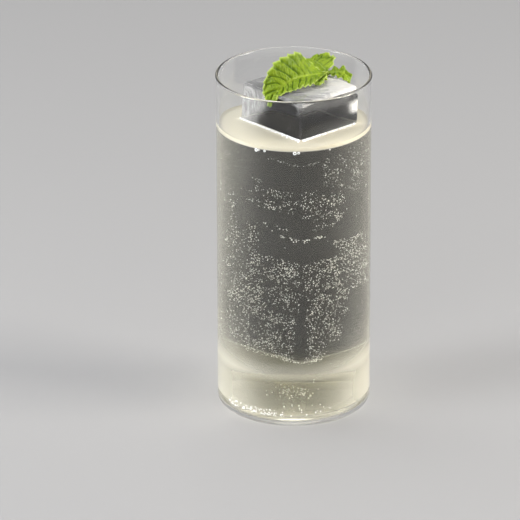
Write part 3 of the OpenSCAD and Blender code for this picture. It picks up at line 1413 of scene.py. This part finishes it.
@dataclass(frozen=True)
class Leaf:
    """One mint leaf, from its root along +X.

    Attributes:
        name: The piece's name.
        length: Distance from root to tip.
        rises: Height of the rib's control points: near the root, at the crest, at the tip.
        bow: Sideways bow of the rib.
        widths: Half widths on the -Y and +Y sides.
        folds: Slopes of the two halves, in degrees.
        teeth: Teeth along each edge.
        root: Where the leaf starts, along the sprig's axes.
        turn: Turn about the stem, in degrees.
        ribs: Side ribs on each half.
        tooth_depth: Depth of a tooth, as a share of the width.
        tooth_back: Share of a tooth's length that its steep back takes.
        crinkle: Height of the wide waves at the edge.
        puff: How far the leaf swells between its ribs.
        rumple: Height of the uneven waves.
        rib_width: Width of a side rib, as a share of the way to the next.
        middle_width: Width of the middle rib, as a share of the half width.
        thickness: How thick the leaf is.
        steps_along: Cells of the skin from root to tip.
        steps_across: Cells of the skin from edge to edge.
    """

    name: str
    length: float
    rises: Point
    bow: float
    widths: Pair
    folds: Pair
    teeth: int
    root: Point
    turn: float
    ribs: int = 7
    tooth_depth: float = 0.13
    tooth_back: float = 0.12
    crinkle: float = 0.35
    puff: float = 0.95
    rumple: float = 1.1
    rib_width: float = 0.13
    middle_width: float = 0.07
    thickness: float = 0.38
    steps_along: int = 150
    steps_across: int = 44

    def rib_point(self, t: float) -> tuple[Vector, Vector]:
        """Point and direction of the rib.

        Args:
            t: Place along the rib, from 0 to 1.

        Returns:
            The point and the unit direction, both in X and Z.
        """
        p = [
            Vector((0.0, 0.0)),
            Vector((self.length * 0.36, self.rises[0])),
            Vector((self.length * 0.86, self.rises[1])),
            Vector((self.length, self.rises[2])),
        ]
        s = 1 - t
        at = s**3 * p[0] + 3 * s * s * t * p[1] + 3 * s * t * t * p[2] + t**3 * p[3]
        way = s * s * (p[1] - p[0]) + 2 * s * t * (p[2] - p[1]) + t * t * (p[3] - p[2])
        return at, way.normalized()

    def outline(self, t: float) -> float:
        """Share of the full width at a place, with forward-pointing teeth."""
        sweep = max(math.sin(math.pi * t**0.9), 0.0) ** (1.3 if t < 0.45 else 0.6)
        phase = (t * self.teeth) % 1.0
        if phase > self.tooth_back:
            bite = self.tooth_depth * (1 - phase) ** 0.8
        else:
            bite = self.tooth_depth * phase / self.tooth_back
        return max(sweep, 0.08) * (1 - bite)

    def vein(self, t: float, a: float) -> float:
        """How close a spot is to a rib, from 0 to 1.

        Args:
            t: Place along the leaf.
            a: Distance from the middle rib, from 0 to 1.

        Returns:
            1 on a rib.
        """
        drift = 0.55 * noise.noise(Vector((t * 4.0, a * 1.6, self.length)))
        wave = (t * self.ribs - a * 1.5 + drift) % 1.0
        side = math.exp(-((min(wave, 1 - wave) / self.rib_width) ** 2)) * (1 - 0.35 * a)
        fine = (t * self.ribs * 3.0 + a * 4.2 + 2.0 * drift) % 1.0
        small = 0.45 * math.exp(-((min(fine, 1 - fine) / self.rib_width) ** 2)) * min(1.0, a * 3)
        middle = math.exp(-((a / self.middle_width) ** 2))
        return max(side, small, middle)

    def spot(self, t: float, v: float) -> tuple[Vector, float, float]:
        """A point of the leaf's upper skin.

        Args:
            t: Place along the leaf, from 0 to 1.
            v: Place across it, from -1 to 1.

        Returns:
            The point along the leaf's own axes in millimetres, how much of a rib
            it is, and how deep in a hollow it is, where the finish paints shade.
        """
        side, a = (0 if v < 0 else 1), abs(v)
        at, way = self.rib_point(t)
        up = Vector((-way.y, 0.0, way.x))
        swing = max(math.sin(math.pi * t), 0.0)
        centre = Vector((at.x, self.bow * swing, at.y))
        opened = max(swing, 0.02) ** 0.6
        width = self.widths[side] * self.outline(t) * a
        fold = math.radians(self.folds[side]) * opened
        waves = math.sin(math.tau * 3.5 * t + math.radians(150.0) * side)
        ripple = self.crinkle * a * waves * opened
        sign = -1.0 if v < 0 else 1.0
        aside = Vector((0.0, sign * width * math.cos(fold), 0.0))
        out = centre + aside + (width * math.sin(fold) + ripple) * up
        vein = self.vein(t, a)
        facing = math.cos(fold) * up - sign * math.sin(fold) * Vector((0.0, 1.0, 0.0))
        wide = min(1.0, width / 1.5 + 0.25)
        grown = clamped((t - 0.12) / 0.35)
        out += facing * self.puff * wide * (0.3 + 0.7 * grown) * (0.6 - vein)
        out += facing * 0.4 * grown * noise.noise(out * 0.95)
        uneven = noise.noise(Vector((t * 9.0, v * 3.0, self.length)))
        out += facing * self.rumple * wide * a * uneven
        curl = max(0.0, a - 0.82) / 0.18
        out += facing * 0.3 * curl * curl * math.sin(math.tau * self.teeth * t)
        # Painted shade: the hollow value follows the sunken veins, and the finish darkens the leaf
        # there.
        hollow = max(0.0, vein - 0.15) * min(1.0, a * 6) * (0.25 + 0.75 * grown)
        return out, vein, hollow

    def build(
        self, place: Callable[[Vector], Vector], material: bpy.types.Material
    ) -> bpy.types.Object:
        """Builds the leaf.

        Args:
            place: Takes a point along the sprig's axes to the frame, in metres.
            material: The leaf's finish.

        Returns:
            The settled piece.
        """
        bm = bmesh.new()
        bmesh.ops.create_grid(
            bm, x_segments=self.steps_along, y_segments=self.steps_across, size=0.5
        )
        vein_layer, hollow_shade_layer, edge_layer = [
            bm.verts.layers.float.new(name) for name in LEAF_VALUES
        ]
        turn = Matrix.Rotation(math.radians(self.turn), 3, "Z")
        for vert in bm.verts:
            t, v = vert.co.x + 0.5, vert.co.y * 2
            spot, vein, hollow = self.spot(clamped(t), v)
            vert[vein_layer] = 1.0 if abs(v) < 0.06 else 0.6 * vein
            vert[hollow_shade_layer] = hollow
            vert[edge_layer] = max(0.0, (abs(v) - 0.84) / 0.16)
            vert.co = place(turn @ spot + Vector(self.root))
        bmesh.ops.recalc_face_normals(bm, faces=bm.faces)
        bm.normal_update()
        if sum(f.normal.z * f.calc_area() for f in bm.faces) < 0:
            bmesh.ops.reverse_faces(bm, faces=bm.faces)
            bm.normal_update()
        number = bm.verts.layers.int.new("number")
        under = []
        for index, vert in enumerate(bm.verts):
            vert[number] = index
            under.append(vert.co - vert.normal * self.thickness * MM)
        made = bmesh.ops.extrude_face_region(bm, geom=bm.faces[:], use_keep_orig=True)
        for item in made["geom"]:
            if isinstance(item, bmesh.types.BMVert):
                item.co = under[item[number]]
        bm.verts.layers.int.remove(number)
        bmesh.ops.recalc_face_normals(bm, faces=bm.faces)
        return settle(finished(bm, self.name, material), Slot.MINT, "mint_sprig")


@dataclass
class MintSprig:
    """The tip of a mint sprig that lies across the ice.

    Attributes:
        ice: The block it lies on.
        stem_r: Radius of the stem.
        stem_len: Length of the stem that shows.
        stem_hidden: Length of the stem among the leaves.
        stem_edge: Bevel at the stem's ends.
        stem_square: How square the stem is.
        bed: How far the stem beds into the ice.
        inset: How far the stem starts from the ice's back right face.
        shift: How far it lies off the middle of the ice.
        overhang: How far the big leaf reaches past the ice.
        margin: How far round the ice the leaves are held above it.
        finish: Its finish.
    """

    ice: IceSpear
    stem_r: float = 1.1
    stem_len: float = 5.0
    stem_hidden: float = 1.4
    stem_edge: float = 0.35
    stem_square: float = 0.09
    bed: float = 0.3
    inset: float = 2.5
    shift: float = 2.0
    overhang: float = 1.6
    margin: float = 0.3
    finish: LeafFinish = field(default_factory=LeafFinish)

    @property
    def lift(self) -> float:
        """Height of the stem's middle above the ice."""
        return self.stem_r - self.bed

    def place(self, spot: Vector) -> Vector:
        """Takes a point along the sprig's axes to the frame.

        Args:
            spot: The point, in millimetres.

        Returns:
            The place on the ice, in metres.
        """
        ice = self.ice
        x = ice.x_high - self.inset - spot.x
        y = (ice.y_low + ice.y_high) / 2 - self.shift - spot.y
        z = ice.top + spot.z
        over_x = ice.x_low - self.margin < x < ice.x_high + self.margin
        over_y = ice.y_low - self.margin < y < ice.y_high + self.margin - ice.lean
        if over_x and over_y:
            z = max(z, ice.top + 0.02 + 0.12 * max(0.0, 1 + spot.z))
        return ice.place(x, y, z)

    def leaves(self) -> list[Leaf]:
        """The leaves, the big one first."""
        small = {"crinkle": 0.6, "steps_along": 90, "steps_across": 24}
        return [
            Leaf(
                "mint_big_leaf",
                length=self.ice.x_high - self.ice.x_low + self.overhang - self.inset,
                rises=(2.0, 7.2, -5.6),
                bow=1.8,
                widths=(10.8, 5.6),
                folds=(57.0, -28.0),
                teeth=12,
                root=(0.0, 0.0, self.lift + 0.6),
                turn=0.0,
                ribs=11,
            ),
            Leaf(
                "mint_back_leaf",
                length=13.5,
                rises=(1.8, 2.2, 0.5),
                bow=0.0,
                widths=(8.2, 7.2),
                folds=(9.0, 12.0),
                teeth=8,
                root=(-0.6, -0.5, self.lift + 0.8),
                turn=-100.0,
                ribs=6,
            ),
            Leaf(
                "mint_curled_leaf",
                length=9.8,
                rises=(1.0, 1.8, -3.8),
                bow=0.6,
                widths=(2.8, 2.9),
                folds=(-36.0, 30.0),
                teeth=6,
                root=(0.0, 0.0, self.lift + 0.7),
                turn=122.0,
                ribs=5,
                puff=0.4,
                **small,
            ),
            Leaf(
                "mint_bud_leaf",
                length=12.0,
                rises=(0.4, 0.6, 0.2),
                bow=0.0,
                widths=(2.8, 2.8),
                folds=(20.0, 24.0),
                teeth=7,
                root=(1.0, 0.4, self.lift),
                turn=31.0,
                ribs=5,
                puff=0.3,
                **small,
            ),
        ]

    def stem(self, material: bpy.types.Material) -> bpy.types.Object:
        """Builds the short piece of square, grooved stem.

        Args:
            material: The leaf finish.

        Returns:
            The settled piece.
        """
        bm = bmesh.new()
        length = self.stem_len + self.stem_hidden
        bmesh.ops.create_cone(
            bm,
            cap_ends=True,
            segments=24,
            radius1=self.stem_r * 0.8,
            radius2=self.stem_r,
            depth=length,
        )
        long_edges = [e for e in bm.edges if abs(e.verts[0].co.z - e.verts[1].co.z) > 0.1]
        bmesh.ops.subdivide_edges(bm, edges=long_edges, cuts=14, use_grid_fill=True)
        rims = [
            e for e in bm.edges if all(abs(abs(v.co.z) - length / 2) < 1e-4 for v in e.verts)
        ]
        bmesh.ops.bevel(
            bm,
            geom=rims,
            offset=self.stem_edge,
            segments=3,
            profile=0.5,
            affect="EDGES",
            material=-1,
        )
        for name in LEAF_VALUES:
            bm.verts.layers.float.new(name)
        vein = bm.verts.layers.float["vein"]
        for vert in bm.verts:
            angle = math.atan2(vert.co.y, vert.co.x)
            square = 1 + self.stem_square * math.cos(4 * angle)
            along = vert.co.z
            vert[vein] = 0.5 + 0.4 * math.cos(4 * angle)
            bend = -0.3 + 0.06 * along
            out = Vector((along, bend + vert.co.x * square, self.lift + vert.co.y * square))
            vert.co = self.place(out)
        bmesh.ops.recalc_face_normals(bm, faces=bm.faces)
        if bm.calc_volume(signed=True) < 0:
            bmesh.ops.reverse_faces(bm, faces=bm.faces)
        return settle(finished(bm, "mint_stem", material), Slot.MINT, "mint_sprig")

    def build(self) -> list[bpy.types.Object]:
        """Builds the leaves and the stem."""
        material = self.finish.material()
        return [leaf.build(self.place, material) for leaf in self.leaves()] + [self.stem(material)]


# -------------------------------------------------------------------- studio


@dataclass(frozen=True)
class Softbox:
    """One soft studio light.

    Attributes:
        name: Its name.
        at: Where it hangs, in metres.
        size: Width and height, in metres.
        power: Watts.
        colour: Its colour.
    """

    name: str
    at: Point
    size: Pair
    power: float
    colour: Point = (1.0, 1.0, 1.0)

    def hang(self, aim: Vector) -> None:
        """Hangs the light, turned towards a point."""
        lamp = bpy.data.lights.new(self.name, "AREA")
        lamp.shape = "RECTANGLE"
        lamp.size, lamp.size_y = self.size
        lamp.energy = self.power
        lamp.color = self.colour
        made = bpy.data.objects.new(self.name, lamp)
        made.location = self.at
        made.rotation_euler = (aim - made.location).to_track_quat("-Z", "Y").to_euler()
        bpy.context.scene.collection.objects.link(made)


@dataclass
class Studio:
    """The floor, the lights and the camera.

    Attributes:
        aim: The point that the lights face.
        camera_at: Where the camera stands.
        tilt: How far it looks down, in degrees.
        lens: Its focal length, in millimetres.
        sensor: Width of its sensor, in millimetres.
        shift: Its sideways shift.
        board: Half the floor's width.
        clearance: How far the floor lies under the glass.
        horizon: The room's colour at eye level.
        zenith: The room's colour overhead.
        sky_top: Height of direction at which the overhead colour is reached.
        sky_power: Strength of the room's light.
        boxes: The studio lights.
    """

    aim: Vector
    camera_at: Point = (0.0, -1.857, 0.8582)
    tilt: float = 23.248
    lens: float = 346.8
    sensor: float = 36.0
    shift: float = -0.0648
    board: float = 6.0
    clearance: float = 0.0001
    horizon: Colour = (0.8, 0.8, 0.82, 1.0)
    zenith: Colour = (0.95, 0.96, 1.0, 1.0)
    sky_top: float = 0.8
    sky_power: float = 0.42
    boxes: tuple[Softbox, ...] = (
        Softbox("top_box", (-0.2, 0.5, 1.4), (1.2, 0.9), 13.0, (1.0, 0.985, 0.95)),
        Softbox("left_strip", (-0.95, -0.3, 0.4), (0.4, 0.9), 13.0),
        Softbox("right_strip", (0.95, -0.2, 0.42), (0.4, 0.9), 15.0, (1.0, 0.95, 0.87)),
        Softbox("front_fill", (-0.6, -1.6, 1.1), (1.2, 0.9), 9.0),
    )

    def floor(self) -> None:
        """Lays the pale floor."""
        bm = bmesh.new()
        bmesh.ops.create_grid(bm, x_segments=2, y_segments=2, size=self.board)
        bmesh.ops.translate(bm, vec=(0.0, 0.0, -self.clearance), verts=bm.verts)
        finished(bm, "studio_floor", FloorFinish().material())

    def sky(self) -> None:
        """Fills the room with soft light, brighter from above."""
        world = bpy.data.worlds.new("studio_air")
        bpy.context.scene.world = world
        world.use_nodes = True
        tree = world.node_tree
        tree.nodes.clear()
        where = tree.nodes.new("ShaderNodeTexCoord")
        split = tree.nodes.new("ShaderNodeSeparateXYZ")
        ramp = tree.nodes.new("ShaderNodeMapRange")
        ramp.inputs["From Min"].default_value = 0.0
        ramp.inputs["From Max"].default_value = self.sky_top
        mixed = tree.nodes.new("ShaderNodeMix")
        mixed.data_type = "RGBA"
        mixed.inputs[MIX_FIRST].default_value = self.horizon
        mixed.inputs[MIX_SECOND].default_value = self.zenith
        air = tree.nodes.new("ShaderNodeBackground")
        air.inputs["Strength"].default_value = self.sky_power
        out = tree.nodes.new("ShaderNodeOutputWorld")
        tree.links.new(where.outputs["Generated"], split.inputs[0])
        tree.links.new(split.outputs["Z"], ramp.inputs["Value"])
        tree.links.new(ramp.outputs["Result"], mixed.inputs["Factor"])
        tree.links.new(mixed.outputs[MIX_RESULT], air.inputs["Color"])
        tree.links.new(air.outputs[0], out.inputs["Surface"])

    def camera(self) -> None:
        """Sets up the camera."""
        lens = bpy.data.cameras.new("camera")
        lens.lens = self.lens
        lens.sensor_width = self.sensor
        lens.shift_x = self.shift
        made = bpy.data.objects.new("camera", lens)
        made.location = self.camera_at
        made.rotation_euler = (math.radians(90.0 - self.tilt), 0.0, 0.0)
        bpy.context.scene.collection.objects.link(made)
        bpy.context.scene.camera = made

    def build(self) -> None:
        """Builds the whole stage."""
        self.floor()
        self.sky()
        self.camera()
        for box in self.boxes:
            box.hang(self.aim)
        scene = bpy.context.scene
        scene.view_settings.view_transform = "Standard"
        scene.cycles.max_bounces = 24
        scene.cycles.transmission_bounces = 24
        scene.cycles.glossy_bounces = 8
        scene.cycles.diffuse_bounces = 5
        scene.cycles.transparent_max_bounces = 12


# ---------------------------------------------------------------------- main


def main() -> None:
    """Loads the frame, reads its boxes and builds every piece in order."""
    logging.basicConfig(level=logging.INFO, format="%(name)s: %(message)s")
    noise.seed_set(NOISE_SEED)
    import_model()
    _, glass_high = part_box("glass")
    ice_low, ice_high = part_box("ice_block")
    _, drink_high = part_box("drink")

    glass = TallGlass(height=glass_high.z / MM, outer=glass_high.x / MM - TallGlass.bead)
    level = drink_high.z / MM - Drink.climb
    ice = IceSpear(level=level, bottom=ice_low.z / MM, top=ice_high.z / MM)
    glass.build()
    ice.build()
    Drink(glass, ice, level).build()
    Fizz(glass, ice, level).build()
    MintSprig(ice).build()
    Studio(aim=Vector((0.0, 0.0, 0.5 * glass.height * MM))).build()


if __name__ == "__main__":
    main()
